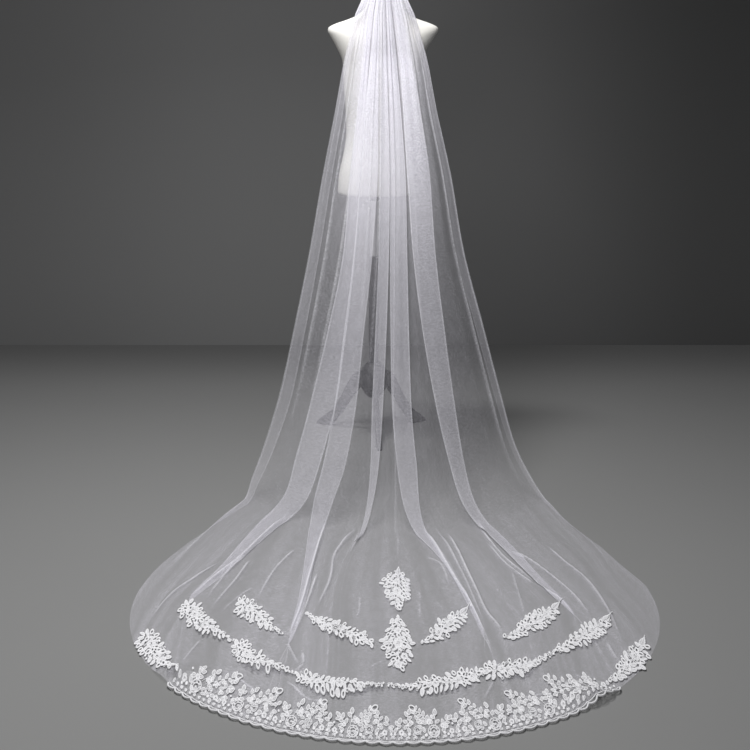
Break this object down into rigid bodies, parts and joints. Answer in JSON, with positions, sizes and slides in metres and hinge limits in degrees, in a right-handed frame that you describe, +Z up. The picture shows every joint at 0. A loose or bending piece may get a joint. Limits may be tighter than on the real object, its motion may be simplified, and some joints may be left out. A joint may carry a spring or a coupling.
{
  "type": "bridal veil on a dress form",
  "caption": "Long sheer train veil gathered on a comb at the neck of a headless dress form, with folds down the back, lace sprays and a scalloped lace hem.",
  "frame": {"origin": "on the floor under the middle of the part's box", "axes": "+Z up; the veil's train runs towards -Y and the form's front faces +Y; +X is to the right as seen from the train"},
  "size_m": [1.351, 2.3095, 1.56],
  "materials": {
    "tulle": "fine sheer nylon tulle, matte",
    "lace": "white corded lace, matte with a silky cord",
    "ribbon": "white satin ribbon",
    "comb": "clear pale plastic",
    "jersey": "ivory jersey over a padded form",
    "steel": "bright pole",
    "black": "satin black"
  },
  "bodies": {
    "root": {"veil_tulle": "tulle", "spray_upper_1": "lace", "spray_upper_2": "lace", "spray_upper_3": "lace", "spray_upper_4": "lace", "spray_centre_1": "lace", "spray_centre_2": "lace", "garland_1": "lace", "garland_2": "lace", "garland_3": "lace", "garland_4": "lace", "garland_5": "lace", "garland_6": "lace", "spray_side_1": "lace", "spray_side_2": "lace", "hem_lace_1": "lace", "hem_lace_2": "lace", "hem_lace_3": "lace", "hem_lace_4": "lace", "veil_comb": "comb", "veil_binding": "ribbon", "form_body": "jersey", "stand_collar": "black", "stand_pole": "steel", "stand_tube": "black", "stand_hub": "black", "stand_leg_1": "black", "stand_leg_2": "black", "stand_leg_3": "black"}
  },
  "joints": []
}
